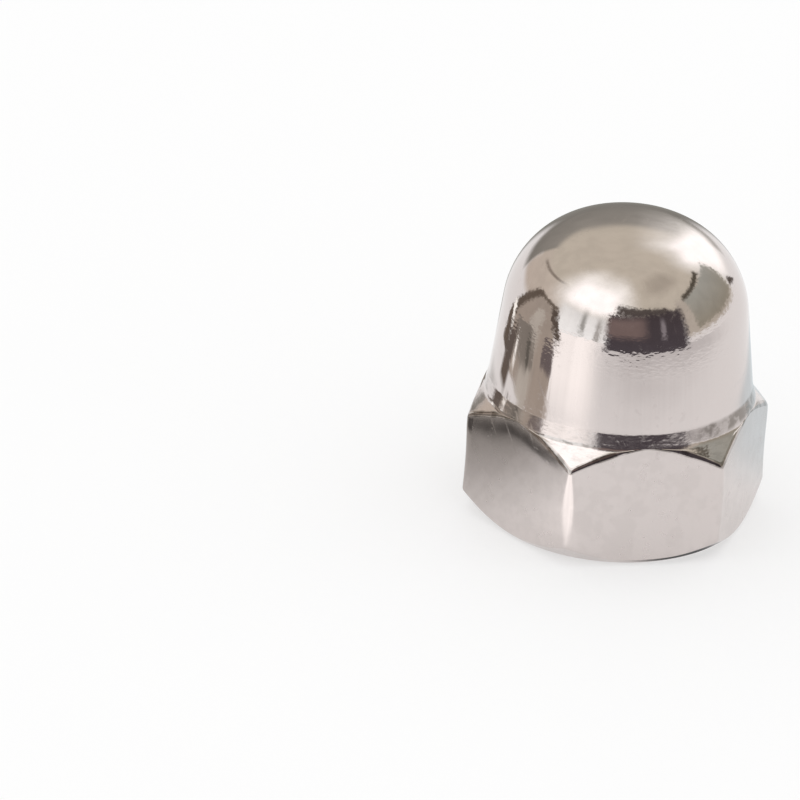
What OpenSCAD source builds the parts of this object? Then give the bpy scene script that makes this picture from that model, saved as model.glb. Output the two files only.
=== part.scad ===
// Cap nut: a hexagon nut closed by a low dome and tapped blind from its bearing face.
// Millimetres. The bearing face lies on z = 0 and the dome points along +Z. One pair of
// wrench flats faces -Y and +Y. The thread is left as its minor-diameter bore.

/* [Hexagon] */
// Size across the wrench flats
across_flats = 19; // [18.6:0.05:19.2]
// Size across the rounded-off corners
across_corners = 21.6; // [21.4:0.05:21.9]

/* [Chamfers] */
// Diameter of the bearing ring, before its edge is rounded
bearing_diameter = 18.2; // [17.9:0.05:18.4]
// Slope of the chamfer around the bearing ring
base_chamfer_angle = 41.5; // [38:0.5:50]
// Slope of the top chamfer
top_chamfer_angle = 49; // [46:0.5:52]

/* [Dome] */
// Height of the whole nut
total_height = 22; // [21.6:0.05:22.4]
// Draft of the dome's wall
dome_draft = 7; // [6:0.5:8]
// Radius of the shoulder between wall and crown
shoulder_radius = 6.95; // [6.7:0.05:7.2]
// Radius of the crown
crown_radius = 15; // [14:0.1:18]

/* [Foot of the dome] */
// Height where the wall starts to flare out
flare_height = 10.05; // [9.9:0.05:10.2]
// Diameter of the wall at that height
flare_diameter = 18.44; // [18.34:0.02:18.54]
// Radius between the wall and the flare's cone
flare_radius = 1.5; // [1:0.1:3]
// Slope of the flare's cone, measured from upright
flare_angle = 12.5; // [11:0.5:15]
// Length of the flare's cone
flare_length = 0.92; // [0.8:0.02:1]
// Fillet between the flare and the top chamfer
foot_fillet_radius = 0.6; // [0.4:0.05:0.8]

/* [Threaded bore] */
// Diameter of the mouth in the bearing face
mouth_diameter = 13.7; // [13.4:0.05:14]
// Diameter at the foot of the steep mouth chamfer
mouth_foot_diameter = 13.1; // [12.8:0.05:13.3]
// Depth of the steep mouth chamfer
mouth_depth = 0.85; // [0.6:0.05:1]
// Depth where the countersink reaches the bore
countersink_depth = 2.1; // [1.9:0.05:2.4]
// Minor diameter of the M12 x 1.75 thread
minor_diameter = 10.1; // [9.9:0.01:10.4]
// Depth of the bore's straight wall
bore_depth = 16; // [15.5:0.1:16.5]
// Included angle of the drill point
drill_point_angle = 118; // [110:1:130]

/* [Edges] */
// Rounding of the bearing ring's outer edge
bearing_edge_radius = 0.6; // [0.4:0.05:0.8]

/* [Hidden] */
$fn = 96;
overlap = 0.01;
plated_steel = [0.665, 0.606, 0.587];

corner_radius = across_corners / 2;
bearing_radius = bearing_diameter / 2;

// Direction that leans up from level by an angle, in the half section
function leaning(angle) = [cos(angle), sin(angle)];

// Bearing ring's rounded edge, tangent to the ring and to its chamfer
edge_tangent = bearing_edge_radius * tan(base_chamfer_angle / 2);
edge_centre = [bearing_radius - edge_tangent, bearing_edge_radius];
edge_on_ring = [bearing_radius - edge_tangent, 0];
edge_on_chamfer = [bearing_radius + edge_tangent * cos(base_chamfer_angle),
                   edge_tangent * sin(base_chamfer_angle)];

// Foot of the dome: the flare's arc is tangent to the wall and to the flare's cone, and the
// fillet is tangent to the cone and to the top chamfer
flare_top = [flare_diameter / 2, flare_height];
flare_centre = flare_top + flare_radius * leaning(dome_draft);
cone_top = flare_centre - flare_radius * leaning(flare_angle);
cone_foot = cone_top + flare_length * leaning(flare_angle - 90);
fillet_centre = cone_foot + foot_fillet_radius * leaning(flare_angle);
fillet_foot = fillet_centre - foot_fillet_radius * leaning(90 - top_chamfer_angle);

// Hexagon's chamfers, where they meet the rounded-off corners
corner_bottom = (corner_radius - bearing_radius) * tan(base_chamfer_angle);
corner_top = fillet_foot[1] - (corner_radius - fillet_foot[0]) * tan(top_chamfer_angle);

// Shoulder's centre, which makes its arc tangent to the wall and to the crown
crown_centre = total_height - crown_radius;
shoulder_out = flare_top * leaning(dome_draft) - crown_centre * sin(dome_draft)
             - shoulder_radius;
shoulder_up = sqrt(pow(crown_radius - shoulder_radius, 2) - pow(shoulder_out, 2));
shoulder_centre = [shoulder_out * cos(dome_draft) - shoulder_up * sin(dome_draft),
                   crown_centre + shoulder_out * sin(dome_draft) + shoulder_up * cos(dome_draft)];
wall_top = shoulder_centre + shoulder_radius * leaning(dome_draft);
crown_angle = atan2(shoulder_centre[1] - crown_centre, shoulder_centre[0]);

drill_point_depth = minor_diameter / 2 / tan(drill_point_angle / 2);

// Right half of the crown: a sector of its circle, from the shoulder's end to the axis
module crown_profile() {
    reach = 2 * crown_radius;
    translate([0, crown_centre])
        intersection() {
            circle(r = crown_radius);
            polygon([[0, 0], reach * leaning(crown_angle), [0, reach]]);
        }
}

// Right half of the shoulder: its circle, without what lies beyond the axis
module shoulder_profile() {
    intersection() {
        translate(shoulder_centre) circle(r = shoulder_radius);
        square([across_corners, total_height]);
    }
}

// Half section of the solid nut, before its flats are cut
module body_profile() {
    difference() {
        union() {
            polygon([[0, 0], edge_on_ring, edge_on_chamfer,
                     [corner_radius, corner_bottom], [corner_radius, corner_top],
                     fillet_foot, cone_foot, cone_top, flare_top, wall_top, [0, wall_top[1]]]);
            translate(edge_centre) circle(r = bearing_edge_radius);
            shoulder_profile();
            crown_profile();
        }
        translate(fillet_centre) circle(r = foot_fillet_radius);
        translate(flare_centre) circle(r = flare_radius);
    }
}

// Half section of the blind hole, with its countersunk mouth and drill point
module bore_profile() {
    mouth_slope = (mouth_diameter - mouth_foot_diameter) / 2 / mouth_depth;
    polygon([[0, -overlap], [mouth_diameter / 2 + overlap * mouth_slope, -overlap],
             [mouth_foot_diameter / 2, mouth_depth],
             [minor_diameter / 2, countersink_depth],
             [minor_diameter / 2, bore_depth],
             [0, bore_depth + drill_point_depth]]);
}

// Prism that cuts the six flats
module hexagon() {
    cylinder(h = total_height + overlap, d = across_flats / cos(30), $fn = 6);
}

// The whole nut, turned, cut to its hexagon and bored
module nut() {
    color(plated_steel)
        difference() {
            intersection() {
                rotate_extrude() body_profile();
                hexagon();
            }
            rotate_extrude() bore_profile();
        }
}

nut();
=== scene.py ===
"""Cap nut: a polished, plated M12 domed nut standing on its bearing face."""
import math

import bpy
from mathutils import Matrix, Vector


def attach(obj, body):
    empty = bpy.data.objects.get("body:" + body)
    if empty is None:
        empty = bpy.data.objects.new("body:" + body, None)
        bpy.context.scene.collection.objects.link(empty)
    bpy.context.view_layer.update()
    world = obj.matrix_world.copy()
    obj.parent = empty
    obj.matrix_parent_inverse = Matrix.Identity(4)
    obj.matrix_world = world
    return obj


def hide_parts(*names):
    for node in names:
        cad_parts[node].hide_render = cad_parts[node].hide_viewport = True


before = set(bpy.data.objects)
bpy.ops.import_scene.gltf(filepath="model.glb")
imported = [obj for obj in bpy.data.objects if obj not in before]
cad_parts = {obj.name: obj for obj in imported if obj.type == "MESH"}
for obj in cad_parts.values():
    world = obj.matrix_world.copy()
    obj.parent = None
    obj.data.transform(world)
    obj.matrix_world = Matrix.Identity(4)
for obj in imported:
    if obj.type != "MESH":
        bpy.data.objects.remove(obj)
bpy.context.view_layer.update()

MM = 0.001
TAU = 2 * math.pi
SIXTH_DEGREES = 60          # from one corner of the hexagon to the next
SIXTH = math.radians(SIXTH_DEGREES)
HALF_FLAT = math.pi / 6     # from the middle of a flat to its corner

# --- sizes of the nut, in millimetres, as in the CAD part ---------------------------------
FLAT_R = 9.5            # axis to a wrench flat
BEARING_R = 9.1         # bearing ring, before its edge is rounded
BASE_ANGLE = math.radians(41.5)     # slope of the chamfer around the bearing ring
TOP_ANGLE = math.radians(49)        # slope of the top chamfer
HEIGHT = 22.0
DRAFT = math.radians(7)             # of the dome's wall
SHOULDER_R = 6.95
CROWN_R = 15.0
FLARE_HEIGHT = 10.05    # where the dome's wall starts to flare out
DOME_R = 9.22           # dome's wall there
FLARE_R = 1.5           # between the wall and the flare's cone
FLARE_ANGLE = math.radians(12.5)    # slope of that cone, from upright
FLARE_LENGTH = 0.92     # of that cone
FOOT_FILLET = 0.6       # between the flare and the top chamfer
RING_EDGE = 0.6         # rounding of the bearing ring's outer edge
MOUTH_R, MOUTH_FOOT_R, MOUTH_DEPTH = 6.85, 6.55, 0.85
SINK_DEPTH = 2.1        # where the countersink reaches the bore
MINOR_R = 5.05          # the CAD part's plain bore
BORE_DEPTH = 16.0       # of its straight wall
DRILL_HALF_ANGLE = math.radians(59)
DRILL_TIP = BORE_DEPTH + MINOR_R / math.tan(DRILL_HALF_ANGLE)

# --- what polishing has rounded, in millimetres -------------------------------------------
FLAT_BOW = 0.12         # how far a flat falls back at its corners
CORNER_ROUND_END = 0.3  # rounding of the hexagon's corners, at their ends and at mid-height
CORNER_ROUND_MID = 1.0
CORNER_SPAN = math.radians(3.0)     # how far from a corner the finish of its edge reaches
MARGIN = 1.1            # top margin of a flat, which leans back
MARGIN_SLOPE = math.tan(math.radians(5))    # of its upper end
MARGIN_DROP = MARGIN * MARGIN_SLOPE / 2     # how far its upper end falls back
TOP_EDGE = 0.95         # rounding between the flats and the top chamfer
BROW_REACH = 0.6        # length of the top chamfer that sets the slope of that rounding
BROW_PASSES = 4         # passes that settle how far the rounding falls back
BASE_EDGE = 0.3         # rounding between the flats and the base chamfer
MOUTH_LIP = 0.25        # rounding of the mouth's edge
ROUNDING_SHARE = 0.45   # the most of a side that a rounding may take
CONE_LENGTH = 3         # longer than the top chamfer is anywhere

# --- how finely the outline is divided ----------------------------------------------------
STEPS = {"ring": 6, "ring_edge": 7, "base": 5, "base_edge": 6, "flat": 22, "margin": 8,
         "brow": 8, "chamfer": 26, "fillet": 8, "flare": 8, "wall": 16, "shoulder": 34,
         "crown": 10, "lip": 5, "mouth": 3}
CORNER_BAND = 4         # degrees beside a corner where the columns stand closer together
CORNER_COLUMNS, FLAT_COLUMNS = 7, 26    # columns in that band, and between two such bands

# --- camera -------------------------------------------------------------------------------
VIEW_AZIMUTH = math.radians(-11.8)
VIEW_ELEVATION = math.radians(26.5)
VIEW_ROLL = math.radians(3.2)
VIEW_DISTANCE = 475 * MM
SENSOR = 36             # millimetres wide
LENS = 303.6            # focal length on that sensor
NEAREST, FURTHEST = 0.01, 20    # metres from the camera that it shows
NUT_RIGHT, NUT_BELOW = 14.9 * MM, 7.2 * MM   # nut's place from the middle of the view


def add_camera():
    """Long lens, looking down on the nut, which stands right of and below the middle."""
    back = Vector((math.sin(VIEW_AZIMUTH) * math.cos(VIEW_ELEVATION),
                   -math.cos(VIEW_AZIMUTH) * math.cos(VIEW_ELEVATION),
                   math.sin(VIEW_ELEVATION)))
    level_right = Vector((math.cos(VIEW_AZIMUTH), math.sin(VIEW_AZIMUTH), 0))
    level_up = back.cross(level_right)
    right = level_right * math.cos(VIEW_ROLL) + level_up * math.sin(VIEW_ROLL)
    up = level_up * math.cos(VIEW_ROLL) - level_right * math.sin(VIEW_ROLL)
    place = back * VIEW_DISTANCE - right * NUT_RIGHT + up * NUT_BELOW
    data = bpy.data.cameras.new("camera")
    data.lens, data.sensor_width = LENS, SENSOR
    data.clip_start, data.clip_end = NEAREST, FURTHEST
    cam = bpy.data.objects.new("camera", data)
    turn = Matrix((right, up, back)).transposed().to_4x4()
    cam.matrix_world = Matrix.Translation(place) @ turn
    bpy.context.scene.collection.objects.link(cam)
    bpy.context.scene.camera = cam


# --- outline of the nut, as half sections of (radius, height) -----------------------------
def arc(centre, radius, start, end, steps):
    """Points along an arc, both ends included."""
    angles = [start + (end - start) * i / steps for i in range(steps + 1)]
    return [(centre[0] + radius * math.cos(a), centre[1] + radius * math.sin(a)) for a in angles]


def line(a, b, steps):
    """Points from a to b, both ends included."""
    return [(a[0] + (b[0] - a[0]) * i / steps, a[1] + (b[1] - a[1]) * i / steps)
            for i in range(steps + 1)]


def part_way(a, b, share):
    """Point at a share of the way from a to b."""
    return a[0] + (b[0] - a[0]) * share, a[1] + (b[1] - a[1]) * share


def step_lengths(points):
    """Length of each step along a path."""
    return [math.dist(a, b) for a, b in zip(points, points[1:])]


def resample(points, steps):
    """The same path with evenly spaced points."""
    lengths = step_lengths(points)
    total, out, done, i = sum(lengths), [points[0]], 0.0, 0
    for k in range(1, steps):
        want = total * k / steps
        while done + lengths[i] < want:
            done += lengths[i]
            i += 1
        out.append(part_way(points[i], points[i + 1], (want - done) / lengths[i]))
    return out + [points[-1]]


def rounded(below, corner, above, radius, steps):
    """Curve that rounds a corner of the outline, tangent to both of its sides where an arc
    of the radius would be."""
    a = Vector(below) - Vector(corner)
    b = Vector(above) - Vector(corner)
    turn = math.pi - a.angle(b)
    reach = min(radius * math.tan(turn / 2), a.length * ROUNDING_SHARE,
                b.length * ROUNDING_SHARE)
    a.normalize()
    b.normalize()
    start, end = Vector(corner) + a * reach, Vector(corner) + b * reach
    return [tuple(start * (1 - t) ** 2 + Vector(corner) * 2 * t * (1 - t) + end * t ** 2)
            for t in (i / steps for i in range(steps + 1))]


def leaning(angle, size):
    """Step of a size that leans up from level by an angle, in the half section."""
    return Vector((size * math.cos(angle), size * math.sin(angle)))


def foot_points():
    """Foot of the dome, inwards and up: the top chamfer, the fillet and the flare."""
    flare_centre = Vector((DOME_R, FLARE_HEIGHT)) + leaning(DRAFT, FLARE_R)
    cone = Vector((math.sin(FLARE_ANGLE), -math.cos(FLARE_ANGLE))) * FLARE_LENGTH
    fillet_centre = flare_centre - leaning(FLARE_ANGLE, FLARE_R - FOOT_FILLET) + cone
    square_to_chamfer = math.pi / 2 - TOP_ANGLE
    fillet = arc(fillet_centre, FOOT_FILLET, math.pi + square_to_chamfer, math.pi + FLARE_ANGLE,
                 STEPS["fillet"])
    flare = arc(flare_centre, FLARE_R, math.pi + FLARE_ANGLE, math.pi + DRAFT, STEPS["flare"])
    outer = Vector(fillet[0]) + Vector((math.cos(TOP_ANGLE), -math.sin(TOP_ANGLE))) * CONE_LENGTH
    return [tuple(outer)] + fillet + flare


def dome_points():
    """Shoulder and crown arcs of the dome."""
    crown_z = HEIGHT - CROWN_R
    out = DOME_R * math.cos(DRAFT) + (FLARE_HEIGHT - crown_z) * math.sin(DRAFT) - SHOULDER_R
    up = math.sqrt((CROWN_R - SHOULDER_R) ** 2 - out ** 2)
    centre = (out * math.cos(DRAFT) - up * math.sin(DRAFT),
              crown_z + out * math.sin(DRAFT) + up * math.cos(DRAFT))
    crown_angle = math.atan2(centre[1] - crown_z, centre[0])
    shoulder = arc(centre, SHOULDER_R, DRAFT, crown_angle, STEPS["shoulder"])
    return shoulder, arc((0, crown_z), CROWN_R, crown_angle, math.pi / 2, STEPS["crown"])


FOOT_PATH = foot_points()
SHOULDER_ARC, CROWN_ARC = dome_points()


def hexagon_radius(off_flat, corner_round):
    """Axis to the hexagon's outline, at an angle from the middle of a bowed flat."""
    turned = 2 * FLAT_BOW / (FLAT_R * math.tan(HALF_FLAT))  # slope of the bow at a corner
    half_corner = SIXTH + turned                            # half of the corner's angle
    corner = (FLAT_R - FLAT_BOW) / math.cos(HALF_FLAT)
    centre = corner - corner_round / math.sin(half_corner)
    round_end = math.atan2(corner_round * math.cos(half_corner),
                           centre + corner_round * math.sin(half_corner))
    off_corner = HALF_FLAT - abs(off_flat)
    if off_corner < round_end:
        aside = centre * math.sin(off_corner)
        return centre * math.cos(off_corner) + math.sqrt(corner_round ** 2 - aside ** 2)
    bow = FLAT_BOW * (math.tan(off_flat) / math.tan(HALF_FLAT)) ** 2
    return (FLAT_R - bow) / math.cos(off_flat)


def crossing(points, radius):
    """The part of a path from where it comes in past a radius."""
    for i, (a, b) in enumerate(zip(points, points[1:])):
        if a[0] >= radius > b[0]:
            share = (a[0] - radius) / (a[0] - b[0])
            return [(radius, a[1] + (b[1] - a[1]) * share)] + points[i + 1:]
    return points


def after(points, distance):
    """The part of a path that is left after a distance along it."""
    for i, step in enumerate(step_lengths(points)):
        if step > distance:
            return [part_way(points[i], points[i + 1], distance / step)] + points[i + 1:]
        distance -= step
    return points[-1:]


def brow(corner_r):
    """Rounding between a flat's leaning margin and the top chamfer, and the path above it."""
    drop = MARGIN_DROP
    for _ in range(BROW_PASSES):
        chamfer = crossing(FOOT_PATH, corner_r - drop)
        below = (chamfer[0][0] + MARGIN_SLOPE, chamfer[0][1] - 1)
        above = after(chamfer, BROW_REACH)[0]
        rounding = rounded(below, chamfer[0], above, TOP_EDGE, STEPS["brow"])
        drop = MARGIN_DROP + MARGIN_SLOPE * (chamfer[0][1] - rounding[0][1])
    return rounding, chamfer


def outside_column(off_flat):
    """Half section from the mouth's lip to the crown, at one angle: list of (region, point)."""
    corner_r = hexagon_radius(off_flat, CORNER_ROUND_END)
    tangent = RING_EDGE * math.tan(BASE_ANGLE / 2)
    ring_edge = arc((BEARING_R - tangent, RING_EDGE), RING_EDGE,
                    -math.pi / 2, -math.pi / 2 + BASE_ANGLE, STEPS["ring_edge"])
    base_meets = (corner_r, (corner_r - BEARING_R) * math.tan(BASE_ANGLE))
    low_round = rounded(ring_edge[-1], base_meets, (corner_r, HEIGHT), BASE_EDGE,
                        STEPS["base_edge"])
    high_round, chamfer = brow(corner_r)
    foot = crossing(chamfer, high_round[-1][0])
    lip_end = (MOUTH_R + MOUTH_LIP, 0)
    stretches = [("ring", line(lip_end, ring_edge[0], STEPS["ring"])),
                 ("ring", ring_edge[1:]),
                 ("base", line(ring_edge[-1], low_round[0], STEPS["base"])[1:]),
                 ("edge", low_round[1:]),
                 ("flat", flat_side(off_flat, low_round[-1][1], high_round[0][1])[1:]),
                 ("brow", high_round[1:]),
                 ("chamfer", resample(foot, STEPS["chamfer"])[1:]),
                 ("dome", line(FOOT_PATH[-1], SHOULDER_ARC[0], STEPS["wall"])[1:]),
                 ("dome", SHOULDER_ARC[1:]),
                 ("dome", CROWN_ARC[1:-1])]
    return [(region, point) for region, points in stretches for point in points]


def flat_side(off_flat, low, high):
    """Points up a bowed flat, or up its rounded corner, to the end of its leaning margin."""
    side = []
    for z in flat_heights(low, high):
        swell = math.sin(math.pi * (z - low) / (high - low))
        rounding = CORNER_ROUND_END + (CORNER_ROUND_MID - CORNER_ROUND_END) * swell
        into_margin = max(0, 1 - (high - z) / MARGIN)
        side.append((hexagon_radius(off_flat, rounding) - MARGIN_DROP * into_margin ** 2, z))
    return side


def flat_heights(low, high):
    """Heights up a flat, closer together in its top margin."""
    edge = high - MARGIN
    below, within = STEPS["flat"], STEPS["margin"]
    return ([low + (edge - low) * i / below for i in range(below)]
            + [edge + MARGIN * i / within for i in range(within + 1)])


# --- thread -------------------------------------------------------------------------------
MAJOR_R, PITCH = 6.02, 1.75
THREAD_FULL, THREAD_END = 13.0, 15.3    # depth of the last full turn and of the run-out's end
CREST_EDGE, ROOT_EDGE = 0.118, 0.4375   # where a flank starts and ends, in pitches
FLANK_ROUND = 0.08                      # rounding of a flank's ends, in flank widths
# phases of the rows of vertices, from the middle of the crest to the root and on to the next
CREST_TO_ROOT = (0, 0.06, 0.095, 0.118, 0.145, 0.2, 0.265, 0.33, 0.39, 0.425, 0.455)
PHASES = CREST_TO_ROOT + (0.5,) + tuple(1 - p for p in CREST_TO_ROOT[:0:-1])
THREAD_TURNS = 9        # turns of the helix from its first row to its last
LEVEL_END = MOUTH_DEPTH + 0.06      # depth of the last level ring
LEAD_START = LEVEL_END + 0.04       # depths where the helix's tight first turn starts and ends
LEAD_END = LEAD_START + 0.34
SLOW_START = BORE_DEPTH - 0.45      # depth from where the helix tightens again
SLOW_ROOM = 0.35                    # how far it still goes from there
DRILL_RINGS = (3.4, 1.7)            # radii of the rings on the drill point


def mouth_radius(z):
    """Radius of the countersunk mouth at a depth."""
    if z <= MOUTH_DEPTH:
        return MOUTH_R + (MOUTH_FOOT_R - MOUTH_R) * z / MOUTH_DEPTH
    return MOUTH_FOOT_R + (MINOR_R - MOUTH_FOOT_R) * (z - MOUTH_DEPTH) / (SINK_DEPTH - MOUTH_DEPTH)


def helix_depth(turn):
    """Depth along the helix: a tight turn, then the pitch, then tight again."""
    if turn < 1:
        return LEAD_START + (LEAD_END - LEAD_START) * turn
    z = LEAD_END + PITCH * (turn - 1)
    if z < SLOW_START:
        return z
    return SLOW_START + SLOW_ROOM * (1 - math.exp((SLOW_START - z) / SLOW_ROOM))


def flank(share):
    """0 on the crest, 1 at the root, with both ends of the slope rounded."""
    if share > 0.5:
        return 1 - flank(1 - share)
    if share < -FLANK_ROUND:
        return 0
    if share < FLANK_ROUND:
        return (share + FLANK_ROUND) ** 2 / (4 * FLANK_ROUND)
    return share


def thread_radius(phase, z):
    """Radius of the 60 degree internal thread, at a phase of its pitch and a depth."""
    from_crest = 0.5 - abs(phase % 1 - 0.5)
    depth = flank((from_crest - CREST_EDGE) / (ROOT_EDGE - CREST_EDGE))
    fade = min(1, max(0, (THREAD_END - z) / (THREAD_END - THREAD_FULL)))
    return MINOR_R + (MAJOR_R - MINOR_R) * depth * fade


class Mesh:
    """Vertices and faces of one piece, with a material for each face."""

    def __init__(self):
        self.verts, self.faces, self.slots = [], [], []

    def point(self, radius, angle, z):
        self.verts.append((radius * math.cos(angle) * MM, radius * math.sin(angle) * MM, z * MM))
        return len(self.verts) - 1

    def ring(self, radius, z, angles):
        return [self.point(radius, a, z) for a in angles]

    def face(self, corners, slot):
        self.faces.append(corners)
        self.slots.append(slot)

    def fan(self, hub, rim, slot):
        """Triangles from one vertex to each edge of a row of vertices."""
        for a, b in zip(rim, rim[1:]):
            self.face((hub, a, b), slot)

    def join(self, low, high, slots):
        """Quads between two rings of equal count. The outline runs from the bore's end, by
        the mouth, to the crown, and high lies further along it than low."""
        for k, slot in enumerate(slots):
            n = (k + 1) % len(low)
            self.face((low[k], low[n], high[n], high[k]), slot)

    def build(self, name, materials):
        data = bpy.data.meshes.new(name)
        data.from_pydata(self.verts, [], self.faces)
        for material in materials.values():
            data.materials.append(material)
        index = {key: i for i, key in enumerate(materials)}
        data.polygons.foreach_set("material_index", [index[s] for s in self.slots])
        data.polygons.foreach_set("use_smooth", [True] * len(self.slots))
        data.update()
        obj = bpy.data.objects.new(name, data)
        bpy.context.scene.collection.objects.link(obj)
        return obj


def column_angles():
    """Angles around the nut, closer together at the corners; the first is a corner."""
    near_corner = [CORNER_BAND * i / CORNER_COLUMNS for i in range(CORNER_COLUMNS)]
    flat_width = SIXTH_DEGREES - 2 * CORNER_BAND
    on_flat = [CORNER_BAND + flat_width * i / FLAT_COLUMNS for i in range(FLAT_COLUMNS)]
    near_next = [SIXTH_DEGREES - CORNER_BAND + a for a in near_corner]
    return [side * SIXTH + math.radians(a)
            for side in range(6) for a in near_corner + on_flat + near_next]


def outside(mesh, angles):
    """The nut's outside, from the mouth's lip to the crown. Returns the lip's ring."""
    columns = [outside_column(a % SIXTH - HALF_FLAT) for a in angles]
    rows = [[mesh.point(radius, a, z) for (_, (radius, z)), a in zip(spots, angles)]
            for spots in zip(*columns)]
    regions = [region for region, _ in columns[0]]
    beside = ["edge" if (a + CORNER_SPAN) % SIXTH < 2 * CORNER_SPAN else "flat" for a in angles]
    for low, high, region in zip(rows, rows[1:], regions[1:]):
        mesh.join(low, high, beside if region == "flat" else [region] * len(low))
    crown = mesh.point(0, 0, HEIGHT)
    mesh.fan(crown, rows[-1] + rows[-1][:1], "dome")
    return rows[0]


def helix_strip(mesh, angles):
    """The threaded wall: rows of vertices that follow the helix, joined into one strip."""
    starts = [turn + phase for turn in range(THREAD_TURNS) for phase in PHASES] + [THREAD_TURNS]
    rows = [helix_row(mesh, angles, start) for start in starts]
    step, last = len(PHASES), len(angles) - 1
    for j in range(len(rows) - 1):
        for k in range(last):
            mesh.face((rows[j + 1][k], rows[j + 1][k + 1], rows[j][k + 1], rows[j][k]), "thread")
        if j + 1 + step < len(rows):
            mesh.face((rows[j + 1][last], rows[j + 1 + step][0], rows[j + step][0],
                       rows[j][last]), "thread")
    return rows


def helix_row(mesh, angles, start):
    """Vertices along one turn of the helix, at one phase of the thread."""
    row = []
    for a in angles:
        turn = start + a / TAU
        z = helix_depth(turn)
        radius = thread_radius(turn, z)
        if z < SINK_DEPTH:
            radius = max(radius, mouth_radius(z))
        row.append(mesh.point(radius, a, z))
    return row


def close_start(mesh, ring, rows):
    """Joins the last level ring to the helix's first turn."""
    last, step = len(ring) - 1, len(PHASES)
    for k in range(last):
        mesh.face((rows[0][k], rows[0][k + 1], ring[k + 1], ring[k]), "mouth")
    seam = [rows[j][0] for j in range(step, -1, -1)]
    mesh.fan(rows[0][last], seam + [ring[0], ring[last]], "mouth")


def close_end(mesh, rows, ring):
    """Joins the helix's last turn to the level ring at the bore's end."""
    last, step = len(ring) - 1, len(PHASES)
    for k in range(last):
        mesh.face((ring[k], ring[k + 1], rows[-1][k + 1], rows[-1][k]), "thread")
    seam = [row[last] for row in rows[-1 - step:]]
    mesh.fan(rows[-1][0], seam + [ring[last], ring[0]], "thread")


def level_rings(mesh, ring, points, angles, slot):
    """Rings at (radius, depth) points, each joined to the one before. Returns the last."""
    for radius, z in points:
        deeper = mesh.ring(radius, z, angles)
        mesh.join(deeper, ring, [slot] * len(ring))
        ring = deeper
    return ring


def inside(mesh, lip, angles):
    """Mouth, countersink, thread, its run-out and the drill point."""
    turns = [math.pi / 2 * i / STEPS["lip"] for i in range(1, STEPS["lip"] + 1)]
    lip_arc = [(MOUTH_R + MOUTH_LIP * (1 - math.sin(t)), MOUTH_LIP * (1 - math.cos(t)))
               for t in turns]
    wall = line(lip_arc[-1], (MOUTH_FOOT_R, MOUTH_DEPTH), STEPS["mouth"])[1:]
    mouth = lip_arc + wall + [(mouth_radius(LEVEL_END), LEVEL_END)]
    foot = level_rings(mesh, lip, mouth, angles, "mouth")
    rows = helix_strip(mesh, angles)
    close_start(mesh, foot, rows)
    bore_end = mesh.ring(MINOR_R, BORE_DEPTH, angles)
    close_end(mesh, rows, bore_end)
    drill = [(r, BORE_DEPTH + (MINOR_R - r) * (DRILL_TIP - BORE_DEPTH) / MINOR_R)
             for r in DRILL_RINGS]
    last = level_rings(mesh, bore_end, drill, angles, "thread")
    tip = mesh.point(0, 0, DRILL_TIP)
    mesh.fan(tip, last[:1] + last[::-1], "thread")


# --- materials ----------------------------------------------------------------------------
METAL = (0.665, 0.606, 0.587)   # what plated steel gives back of white light
SHADE_AND_DIRT = (0.27, 0.24, 0.22)    # the same darkened: painted shade in the thread's roots, on the brow and at the dome's foot, and dirt in spots and smears
PER_MM = 1000                   # texture coordinates are in metres
NOISE = {
    # scale, detail and, where it isn't a half, roughness
    "clouds": (0.35 * PER_MM, 3.0, 0.6),
    "waves": (0.28 * PER_MM, 1.0),
    "ripples": (2.4 * PER_MM, 1.2),
    "grain": (5.5 * PER_MM, 2.0),
    "rings": (5.0 * PER_MM, 2.0),
    "patches": (0.9 * PER_MM, 3.0),
    "wisps": (1.3 * PER_MM, 3.0, 0.6),
}


class Paint:
    """Nodes of one material: each call adds a node and connects it."""

    def __init__(self, name):
        self.mat = bpy.data.materials.new(name)
        self.mat.use_nodes = True
        self.nodes, self.links = self.mat.node_tree.nodes, self.mat.node_tree.links

    def add(self, kind, inputs, **settings):
        """A node with its inputs given by name or index, as values or as other outputs."""
        node = self.nodes.new("ShaderNode" + kind)
        for key, value in settings.items():
            setattr(node, key, value)
        for key, value in inputs.items():
            self.put(node, key, value)
        return node

    def put(self, node, key, value):
        if isinstance(value, bpy.types.NodeSocket):
            self.links.new(value, node.inputs[key])
        else:
            node.inputs[key].default_value = value

    def place(self):
        return self.add("TexCoord", {}).outputs["Object"]

    def scaled(self, vector, scale):
        return self.add("VectorMath", {0: vector, 1: scale}, operation="MULTIPLY").outputs[0]

    def math(self, operation, a, b):
        return self.add("Math", {0: a, 1: b}, operation=operation).outputs[0]

    def noise(self, vector, scale, detail=2.0, rough=0.5):
        return self.add("TexNoise", {"Vector": vector, "Scale": scale, "Detail": detail,
                                     "Roughness": rough}).outputs["Fac"]

    def between(self, value, low, high, out_low=0.0, out_high=1.0):
        """Maps low..high to out_low..out_high, with soft ends."""
        return self.add("MapRange", {"Value": value, "From Min": low, "From Max": high,
                                     "To Min": out_low, "To Max": out_high},
                        interpolation_type="SMOOTHSTEP").outputs["Result"]

    def band(self, height, middle, low, high):
        """1 between two heights, with soft ends. low and high say where each end starts and
        where it is full, above the middle and in millimetres."""
        sides = [self.between(height, *((middle + end) * MM for end in ends))
                 for ends in (low, high)]
        return self.math("MULTIPLY", *sides)

    def blend(self, factor, a, b):
        return self.add("Mix", {0: factor, 6: a + (1,), 7: b + (1,)}, data_type="RGBA").outputs[2]

    def bump(self, heights):
        """Normals of several height fields, each with its height in micrometres."""
        normal = None
        for field, micrometres in heights:
            inputs = {"Height": field, "Distance": micrometres * 1e-6, "Strength": 1.0}
            if normal is not None:
                inputs["Normal"] = normal
            normal = self.add("Bump", inputs).outputs["Normal"]
        return normal


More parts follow.
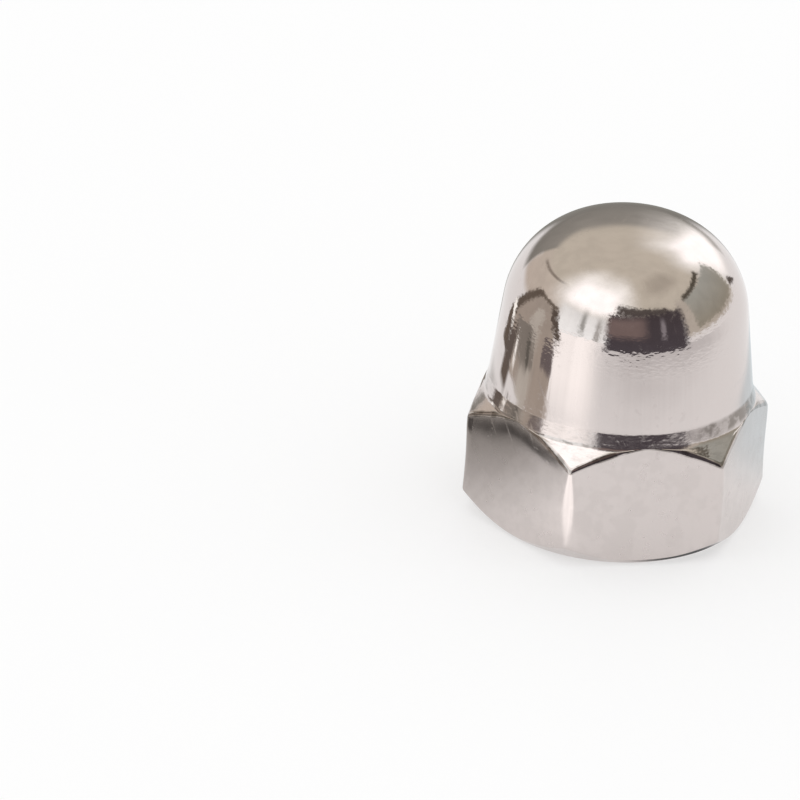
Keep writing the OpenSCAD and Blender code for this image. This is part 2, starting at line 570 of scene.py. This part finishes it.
def around_axis(paint):
    """Coordinate that changes with the distance from the axis and the height only."""
    place = paint.place()
    level = paint.scaled(place, (1, 1, 0))
    radius = paint.add("VectorMath", {0: level}, operation="LENGTH").outputs["Value"]
    height = paint.add("SeparateXYZ", {0: place}).outputs["Z"]
    return paint.add("CombineXYZ", {"X": radius, "Y": height, "Z": 0.0}).outputs[0]


CLOUD_SPAN = (0.35, 0.65)           # noise where the roughness is least and greatest
HAIR_STRETCH = (1.0, 1.0, 0.035)    # draws the noise out into lines
HAIR_ONSET = (0.66, 0.72)           # noise where a hairline starts and is full
HAIR_DEPTH = 0.15                   # micrometres
HAIR_ROUGHNESS = 0.10               # what a hairline adds
HAIR_SETS = (((0.5, 0.3, 0.2), 2.6), ((1.3, -0.5, 0.9), 2.0))   # turn and scale of each set


def scratches(paint, turn, scale):
    """1 on a few hairlines that lie along one direction, 0 elsewhere."""
    turned = paint.add("Mapping", {"Vector": paint.place(), "Rotation": turn}).outputs[0]
    lines = paint.noise(paint.scaled(turned, HAIR_STRETCH), scale * PER_MM, 1.0)
    return paint.between(lines, *HAIR_ONSET)


# rough: least and greatest roughness. The rest are heights in micrometres. waves: slow
# unevenness; ripples: short dents left by forming; grain: fine pebbling; rings: turning
# marks around the axis.
REGIONS = {
    "dome": {"rough": (0.04, 0.08), "waves": 24, "ripples": 9.0, "grain": 0.12, "rings": 0.0},
    "flat": {"rough": (0.13, 0.22), "waves": 34, "ripples": 0.0, "grain": 0.8, "rings": 0.0},
    "chamfer": {"rough": (0.06, 0.14), "waves": 14, "ripples": 8.0, "grain": 0.5, "rings": 2.0},
    "base": {"rough": (0.10, 0.18), "waves": 12, "ripples": 3.0, "grain": 0.6, "rings": 2.0},
    "edge": {"rough": (0.06, 0.10), "waves": 10, "ripples": 1.5, "grain": 0.3, "rings": 0.0},
    "brow": {"rough": (0.05, 0.10), "waves": 10, "ripples": 6.0, "grain": 0.3, "rings": 0.0},
    "ring": {"rough": (0.22, 0.34), "waves": 10, "ripples": 0.0, "grain": 0.8, "rings": 3.0},
    "mouth": {"rough": (0.16, 0.28), "waves": 10, "ripples": 0.0, "grain": 0.8, "rings": 3.0},
    "thread": {"rough": (0.16, 0.30), "waves": 12, "ripples": 0.0, "grain": 0.9, "rings": 2.0},
}


PATCH_ONSET = (0.40, 0.62)      # noise where a patch of stain starts and is full
THREAD_SHADE = (0.1, 0.7)       # painted shade on the thread's crests and in its roots
THREAD_PATCHES = (0.5, 1.0)     # share of it that is kept between the patches and in them
BROW_SHADE = (0.35, 0.9)        # least and most painted shade on the brow, a dark line along it
SPOT_STAIN = (0.0, 0.07)        # and on what is left plain
GROOVE_LOW = (-1.25, -0.75)     # height above the flare's top where its painted shade sets in
GROOVE_HIGH = (0.15, -0.15)     # and where it ends, in millimetres
GROOVE_SIDE = (2, 5)            # millimetres right of the axis where it sets in
GROOVE_SHADE = (0.05, 1.0)      # painted shade left and right of there
GROOVE_PATCHES = (0.45, 1.0)    # share of it that is kept between the patches and in them
WISP_STRETCH = (1, 1, 3.5)      # lays the smears level
WISP_ONSET = (0.46, 0.70)       # noise where a smear starts and is full
WISP_STAIN = (0.0, 0.22)        # stain beside a smear and in it
BELT_LOW = (-2.2, -0.6)         # height above the wall's top where the ripples set in
BELT_HIGH = (2.4, 0.8)          # and where they end, in millimetres
RIPPLE_STRETCH = (1, 1, 1.8)    # makes the dents wider than tall


def shade_and_dirt_mask(paint, region):
    """Where the colour darkens: painted shade in the thread's roots, along the brow and on the
    right of the dome's foot; smears of polish on the chamfer; faint spots of dirt elsewhere."""
    patchy = paint.between(paint.noise(paint.place(), *NOISE["patches"]), *PATCH_ONSET)
    if region == "thread":
        # painted shade, darker towards the thread's roots
        return painted_thread_shade(paint, patchy)
    if region == "brow":
        # painted shade: a dark line along the brow
        return paint.between(patchy, 0.0, 1.0, *BROW_SHADE)
    if region == "dome":
        # painted shade on the right side of the dome's foot
        return painted_groove_shade(paint, patchy)
    if region == "chamfer":
        return paint.math("MAXIMUM", painted_groove_shade(paint, patchy), wisps(paint))
    return paint.between(patchy, 0.0, 1.0, *SPOT_STAIN)


def painted_thread_shade(paint, patchy):
    """Painted shade that grows from the thread's crests to its roots."""
    radius = paint.add("SeparateXYZ", {0: around_axis(paint)}).outputs["X"]
    deep = paint.between(radius, MINOR_R * MM, MAJOR_R * MM, *THREAD_SHADE)
    return paint.math("MULTIPLY", deep, paint.between(patchy, 0.0, 1.0, *THREAD_PATCHES))


def painted_groove_shade(paint, patchy):
    """Painted shade in the groove at the dome's foot, on the nut's right side only."""
    right, _, height = paint.add("SeparateXYZ", {0: paint.place()}).outputs
    near = paint.band(height, FLARE_HEIGHT, GROOVE_LOW, GROOVE_HIGH)
    sets_in, full = (x * MM for x in GROOVE_SIDE)
    sided = paint.math("MULTIPLY", near, paint.between(right, sets_in, full, *GROOVE_SHADE))
    return paint.math("MULTIPLY", sided, paint.between(patchy, 0.0, 1.0, *GROOVE_PATCHES))


def wisps(paint):
    """Faint smears of polish that lie level."""
    level = paint.scaled(paint.place(), WISP_STRETCH)
    return paint.between(paint.noise(level, *NOISE["wisps"]), *WISP_ONSET, *WISP_STAIN)


def belt_mask(paint):
    """1 where the dome's wall turns into its shoulder, which is a little rippled there."""
    height = paint.add("SeparateXYZ", {0: paint.place()}).outputs["Z"]
    return paint.band(height, SHOULDER_ARC[0][1], BELT_LOW, BELT_HIGH)


def plated(region):
    """Polished plating with the marks that one region of the nut has."""
    marks = REGIONS[region]
    paint = Paint("nut_" + region)
    place = paint.place()
    shader = paint.nodes["Principled BSDF"]
    shader.inputs["Metallic"].default_value = 1
    lines = paint.math("MAXIMUM", *(scratches(paint, *hairs) for hairs in HAIR_SETS))
    clouds = paint.noise(place, *NOISE["clouds"])
    cloudy = paint.between(clouds, *CLOUD_SPAN, *marks["rough"])
    scratched = paint.math("MULTIPLY", lines, HAIR_ROUGHNESS)
    paint.put(shader, "Roughness", paint.math("ADD", cloudy, scratched))
    # base colour darkened by painted shade and by dirt, as the mask gives them
    paint.put(shader, "Base Color", paint.blend(shade_and_dirt_mask(paint, region), METAL, SHADE_AND_DIRT))
    heights = [(paint.noise(place, *NOISE["waves"]), marks["waves"]),
               (paint.noise(place, *NOISE["grain"]), marks["grain"]),
               (lines, -HAIR_DEPTH)]
    if marks["ripples"]:
        dents = paint.noise(paint.scaled(place, RIPPLE_STRETCH), *NOISE["ripples"])
        if region == "dome":
            dents = paint.math("MULTIPLY", dents, belt_mask(paint))
        heights.append((dents, marks["ripples"]))
    if marks["rings"]:
        heights.append((paint.noise(around_axis(paint), *NOISE["rings"]), marks["rings"]))
    paint.put(shader, "Normal", paint.bump(heights))
    return paint.mat


def add_nut():
    mesh = Mesh()
    angles = column_angles()
    lip = outside(mesh, angles)
    inside(mesh, lip, angles)
    nut = mesh.build("cap_nut", {key: plated(key) for key in REGIONS})
    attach(nut, "root")
    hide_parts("nut")


# --- studio -------------------------------------------------------------------------------
# Polished metal shows little but the room around it. The room is a set of cards that only
# reflections see: a warm ceiling, grey walls, a picture, two bright windows, a curtain, a dark
# screen in front and, close on the left, the rough shape of a second nut. Patches on the floor
# give the light and shade that the nut's lower half shows.
# Directions are in degrees. An azimuth of 0 is the camera's side, and it grows to the right.
CARD_CENTRE = 14 * MM       # height that the cards' directions start from
CARD_GRID = 24              # squares along each side of a card
CARD_GLOW = (0.96, 1.04)    # least and most of a card's light, which clouds make uneven
CARD_CLOUDS = 7.0           # scale of those clouds, on a ball of radius 1
CARD_RAGS = 26.0            # scale of the rags along its edges
NOISE_SPAN = (0.3, 0.7)     # most of the noise lies between these
SOFT_EDGE, RAGGED_EDGE = 0.2, 2.0   # how ragged a faded edge is
WIDE_FADE = 8               # degrees; a card that fades over this much or more is soft-edged
PATCH_LIFT = 0.02 * MM      # from one floor patch to the next
PATCH_END = 6               # a floor patch fades out over the last of this many parts
LAMP = ((1.65, 1.64, 1.64),) * 2    # light of a window, at its bottom and its top


def linear(value):
    """Light of a display value, by the sRGB standard."""
    return value / 12.92 if value <= 0.04045 else ((value + 0.055) / 1.055) ** 2.4


def seen(red, green, blue):
    """Light that the metal shows as this display colour."""
    return tuple(linear(c) / tint for c, tint in zip((red, green, blue), METAL))


def smooth(t):
    """0 up to 0, 1 from 1 on, and a soft rise between them."""
    t = min(1, max(0, t))
    return t * t * (3 - 2 * t)


def card_material(name, raggedness):
    """Light and see-through edges from the card's own colours, both made a little uneven."""
    paint = Paint(name)
    paint.nodes.remove(paint.nodes["Principled BSDF"])
    colour = paint.add("VertexColor", {}, layer_name="glow").outputs
    way = paint.add("VectorMath", {0: paint.place()}, operation="NORMALIZE").outputs[0]
    level = paint.between(paint.noise(way, CARD_CLOUDS), *NOISE_SPAN, *CARD_GLOW)
    glow = paint.add("Emission", {"Color": colour["Color"], "Strength": level})
    alpha = colour["Alpha"]
    edge = paint.math("MULTIPLY", alpha, paint.math("SUBTRACT", 1.0, alpha))
    rags = paint.noise(way, CARD_RAGS)
    ragged = paint.between(rags, *NOISE_SPAN, -raggedness, raggedness)
    shift = paint.math("MULTIPLY", edge, ragged)
    cover = paint.add("Math", {0: alpha, 1: shift}, operation="ADD", use_clamp=True).outputs[0]
    mix = paint.add("MixShader", {"Fac": cover, 1: paint.add("BsdfTransparent", {}).outputs[0],
                                  2: glow.outputs[0]})
    paint.put(paint.nodes["Material Output"], "Surface", mix.outputs[0])
    return paint.mat


def add_sheet(name, material, place_at, colour_at, fade_at):
    """A sheet of CARD_GRID squares a side that reflections see. u and v run from 0 to 1."""
    steps = [i / CARD_GRID for i in range(CARD_GRID + 1)]
    spots = [(u, v) for u in steps for v in steps]
    side = CARD_GRID + 1
    faces = [(a, a + side, a + side + 1, a + 1) for a in range(side * CARD_GRID)
             if a % side < CARD_GRID]
    data = bpy.data.meshes.new(name)
    data.from_pydata([place_at(u, v) for u, v in spots], [], faces)
    glow = data.color_attributes.new("glow", "FLOAT_COLOR", "POINT")
    flat = [part for u, v in spots for part in (*colour_at(u, v), fade_at(u, v))]
    glow.data.foreach_set("color", flat)
    data.materials.append(material)
    card = bpy.data.objects.new(name, data)
    bpy.context.scene.collection.objects.link(card)
    card.visible_camera = card.visible_diffuse = False
    card.visible_shadow = card.visible_transmission = card.visible_volume_scatter = False


def add_card(name, material, distance, corners, colours, soft):
    """A curved card around the nut. corners are (azimuth, elevation), anticlockwise from the
    lower left; colours are at the bottom and at the top; soft is how far its sides fade, and
    how far its bottom and top do."""
    (a0, e0), (a1, e1), (a2, e2), (a3, e3) = corners
    wide = (a1 - a0 + a2 - a3) / 2
    tall = (e3 - e0 + e2 - e1) / 2

    def direction(u, v):
        side = (a0 * (1 - u) + a1 * u) * (1 - v) + (a3 * (1 - u) + a2 * u) * v
        up = (e0 * (1 - u) + e1 * u) * (1 - v) + (e3 * (1 - u) + e2 * u) * v
        return VIEW_AZIMUTH + math.radians(side), math.radians(up)

    def place_at(u, v):
        a, e = direction(u, v)
        return (distance * math.sin(a) * math.cos(e), -distance * math.cos(a) * math.cos(e),
                CARD_CENTRE + distance * math.sin(e))

    def colour_at(u, v):
        return [low + (high - low) * v for low, high in zip(*colours)]

    def fade_at(u, v):
        side = smooth(min(u, 1 - u) * wide / soft[0]) if soft[0] else 1
        return side * (smooth(min(v, 1 - v) * tall / soft[1]) if soft[1] else 1)

    add_sheet("card_" + name, material, place_at, colour_at, fade_at)


def box(left, right, low, high):
    """Corners of an upright card."""
    return (left, low), (right, low), (right, high), (left, high)


def plain(red, green, blue):
    """The same light at the bottom and the top of a card."""
    return (seen(red, green, blue),) * 2


CARDS = (
    # name, distance in metres, corners and colours, soft sides and ends in degrees
    ("ceiling", 2.0, box(-180, 180, 20, 90), plain(0.715, 0.665, 0.610), (0, 0)),
    ("ceiling_shade", 1.98, box(20, 100, 46, 78), plain(0.635, 0.585, 0.535), (26, 14)),
    ("wall_left", 1.95, ((-142, 2), (-62, -6), (-62, 44), (-142, 34)),
     (seen(0.70, 0.635, 0.59), seen(0.72, 0.665, 0.615)), (8, 9)),
    ("moulding", 1.93, ((-130, 23), (-80, 38), (-80, 42), (-130, 28)),
     plain(0.50, 0.45, 0.41), (8, 2)),
    ("wall_back", 1.9, box(150, 224, -2, 37), (seen(0.44, 0.415, 0.39), seen(0.55, 0.52, 0.49)),
     (3, 9)),
    ("block_back", 0.034, box(154, 210, -26, 20),
     (seen(0.49, 0.465, 0.44), seen(0.46, 0.435, 0.41)), (12, 3)),
    ("wall_right", 1.9, box(54, 130, -2, 42), plain(0.67, 0.62, 0.575), (5, 6)),
    ("window_left_glow", 1.7, box(-100, 22, 10, 84), plain(0.95, 0.915, 0.89), (36, 28)),
    ("window_left", 1.6, box(-80, -4, 24, 62), LAMP, (20, 13)),
    ("curtain", 1.65, box(-76, -12, -14, 31), (seen(0.96, 0.94, 0.93), seen(0.84, 0.815, 0.80)),
     (12, 9)),
    ("curtain_fold", 1.5, box(-47, -37, -2, 33), plain(0.60, 0.58, 0.56), (5, 12)),
    ("curtain_edge", 1.5, box(-31, -21, -10, 30), plain(0.64, 0.61, 0.59), (5, 12)),
    ("window_right_glow", 1.7, box(100, 180, -2, 66), plain(0.92, 0.885, 0.86), (26, 22)),
    ("window_right", 1.6, ((128, 4), (168, 4), (158, 54), (116, 54)), LAMP, (11, 13)),
    ("table_edge", 1.5, ((126, 3), (143, -3), (138, 1), (130, 14)), plain(0.3, 0.26, 0.24), (2, 3)),
    ("picture_right", 1.5, ((69, 5), (128, 2), (128, 38), (66, 41)),
     (seen(0.53, 0.49, 0.435), seen(0.60, 0.585, 0.555)), (4, 4)),
    ("picture_right_top", 1.45, ((66, 34), (114, 38), (114, 46), (66, 42)),
     plain(0.30, 0.27, 0.235), (4, 3.4)),
    ("neighbour_foot", 0.032, box(-102, -56, -26, -20.5), plain(0.47, 0.44, 0.42), (6, 1.2)),
    ("neighbour", 0.044, ((-126, -24), (-56, -24), (-64, 19), (-92, 21)),
     (seen(0.60, 0.54, 0.495), seen(0.59, 0.535, 0.495)), (4, 3)),
    ("neighbour_gleam", 0.043, ((-102, -24), (-78, -24), (-70, 12), (-84, 12)),
     plain(0.67, 0.625, 0.585), (6, 5)),
    ("neighbour_shade", 0.0428, ((-112, -18), (-74, -15.5), (-84, -7), (-108, -9)),
     plain(0.47, 0.43, 0.40), (7, 1.6)),
    ("neighbour_dark", 0.0427, ((-73, -13.6), (-58, -13.6), (-58, -9), (-72, -9)),
     plain(0.38, 0.335, 0.33), (2.5, 0.9)),
    ("neighbour_blob", 0.0427, ((-89, -15.6), (-83, -15.6), (-85, -12), (-91, -12)),
     plain(0.34, 0.315, 0.29), (2.2, 0.8)),
    ("neighbour_rim", 0.0427, ((-121, -19.2), (-106, -19.2), (-104, -13.5), (-120, -15.5)),
     plain(0.36, 0.315, 0.29), (2, 0.8)),
    ("neighbour_glint", 0.0426, ((-119, -16.6), (-113, -16.6), (-110, -2), (-117, -2)),
     plain(0.95, 0.915, 0.885), (2, 2.5)),
    ("neighbour_glint_low", 0.0426, box(-105, -100, -18, -14.6), plain(0.95, 0.91, 0.88),
     (1.8, 0.7)),
    ("neighbour_left", 0.043, ((-134, -24), (-120, -24), (-84, 20), (-94, 23)),
     plain(0.36, 0.31, 0.275), (4, 2)),
    ("neighbour_right", 0.043, ((-62, -10), (-52, -10), (-62, 19), (-74, 20)),
     plain(0.32, 0.275, 0.245), (4, 4)),
    ("neighbour_top", 0.043, ((-96, 17), (-62, 16), (-64, 21), (-92, 23)),
     plain(0.40, 0.35, 0.31), (2, 2.4)),
    ("screen", 0.105, box(-20, 59, -15, 35), (seen(0.28, 0.25, 0.265), seen(0.25, 0.215, 0.22)),
     (5, 5)),
    ("screen_warm", 0.104, box(-24, 24, 4, 34), plain(0.43, 0.36, 0.345), (12, 10)),
    ("screen_gleam", 0.103, box(31, 38, 2, 30), plain(0.50, 0.46, 0.47), (3, 10)),
    ("screen_top", 0.3, ((-16, 28), (54, 28), (44, 39), (-14, 48)), plain(0.31, 0.275, 0.26),
     (7, 6)),
)
FLOOR_PATCHES = (
    # name, azimuth, half width and soft side in degrees,
    # near and far side and soft near edge in mm, light
    ("shade_left", -100, 50, 33, 5, 33, 19, seen(0.53, 0.50, 0.48)),
    # a painted contact shadow of the second nut on the floor
    ("contact_left", -82, 20, 6, 21.5, 33, 2, seen(0.27, 0.25, 0.24)),
    ("gleam_near", -28, 28, 11, 12, 50, 8, (1.55, 1.53, 1.52)),
    ("gleam_far", -45, 29, 16, 36, 150, 30, (1.4, 1.38, 1.36)),
    ("gleam_horizon", -45, 29, 16, 100, 900, 40, (1.4, 1.38, 1.36)),
    # a painted shadow of the second nut on the floor
    ("neighbour_shadow_left", -113, 8, 4, 34, 90, 2, seen(0.37, 0.32, 0.29)),
    ("wall_shade", 38, 75, 50, 46, 260, 36, seen(0.715, 0.68, 0.67)),
    ("shade_right", 142, 50, 30, 8, 37, 10, seen(0.735, 0.73, 0.73)),
    # a painted contact shadow where the bearing ring meets the floor, seen in the base chamfer
    ("contact_shadow_right", 32, 30, 22, 8.9, 9.8, 0.3, seen(0.3, 0.29, 0.29)),
)


def add_cards():
    soft_edged = card_material("card_soft", SOFT_EDGE)
    ragged_edged = card_material("card_ragged", RAGGED_EDGE)
    for name, distance, corners, colours, soft in CARDS:
        material = soft_edged if max(soft) >= WIDE_FADE else ragged_edged
        add_card(name, material, distance, corners, colours, soft)
    for level, patch in enumerate(FLOOR_PATCHES, 1):
        add_patch(soft_edged, level * PATCH_LIFT, *patch)


def add_patch(material, height, name, azimuth, half, side, near, far, ramp, colour):
    """A dark or bright patch on the floor, between two distances from the nut's axis."""
    def place_at(u, v):
        a = VIEW_AZIMUTH + math.radians(azimuth + half * (2 * u - 1))
        reach = (near + (far - near) * v) * MM
        return (reach * math.sin(a), -reach * math.cos(a), height)

    def fade_at(u, v):
        return (smooth(min(u, 1 - u) * 2 * half / side) * smooth(v * (far - near) / ramp)
                * smooth((1 - v) * PATCH_END))

    add_sheet("patch_" + name, material, place_at, lambda u, v: colour, fade_at)


FLOOR_OWN_LIGHT = 0.5       # share of plain white in the floor, so that its shadow stays faint
FLOOR_HALF = 6.0            # metres from its middle to each side
FLOOR_DROP = 0.02 * MM      # how far the floor lies below the bearing face
FLOOR_WHITE = (0.97, 0.97, 0.97, 1)


def straight_ray(paint):
    """1 for rays from the camera, in reflections and through clear things."""
    kinds = paint.add("LightPath", {}).outputs
    both = paint.math("MAXIMUM", kinds["Is Camera Ray"], kinds["Is Glossy Ray"])
    return paint.math("MAXIMUM", both, kinds["Is Transmission Ray"])


def add_floor():
    """White floor that takes the nut's shadow. It is clear from below, to show the bore."""
    data = bpy.data.meshes.new("floor")
    corners = [(-FLOOR_HALF, -FLOOR_HALF), (FLOOR_HALF, -FLOOR_HALF),
               (FLOOR_HALF, FLOOR_HALF), (-FLOOR_HALF, FLOOR_HALF)]
    data.from_pydata([(x, y, -FLOOR_DROP) for x, y in corners], [], [(0, 1, 2, 3)])
    floor = bpy.data.objects.new("floor", data)
    bpy.context.scene.collection.objects.link(floor)
    paint = Paint("floor")
    shader = paint.nodes["Principled BSDF"]
    shader.inputs["Base Color"].default_value = FLOOR_WHITE
    shader.inputs["Roughness"].default_value = 0.9
    shader.inputs["Specular IOR Level"].default_value = 0.1
    bright = paint.add("Emission", {"Color": (1, 1, 1, 1), "Strength": 1.0})
    seen_part = paint.math("MULTIPLY", straight_ray(paint), FLOOR_OWN_LIGHT)
    top = paint.add("MixShader", {"Fac": seen_part, 1: shader.outputs[0], 2: bright.outputs[0]})
    clear = paint.add("BsdfTransparent", {})
    below = paint.add("NewGeometry", {}).outputs["Backfacing"]
    mix = paint.add("MixShader", {"Fac": below, 1: top.outputs[0], 2: clear.outputs[0]})
    paint.put(paint.nodes["Material Output"], "Surface", mix.outputs[0])
    data.materials.append(paint.mat)


def add_world():
    """Plain white light from all round."""
    world = bpy.data.worlds.new("studio")
    world.use_nodes = True
    back = world.node_tree.nodes["Background"]
    back.inputs["Color"].default_value = (1, 1, 1, 1)
    back.inputs["Strength"].default_value = 1.0
    bpy.context.scene.world = world


def main():
    bpy.context.scene.view_settings.view_transform = "Standard"
    add_camera()
    add_nut()
    add_floor()
    add_cards()
    add_world()


main()
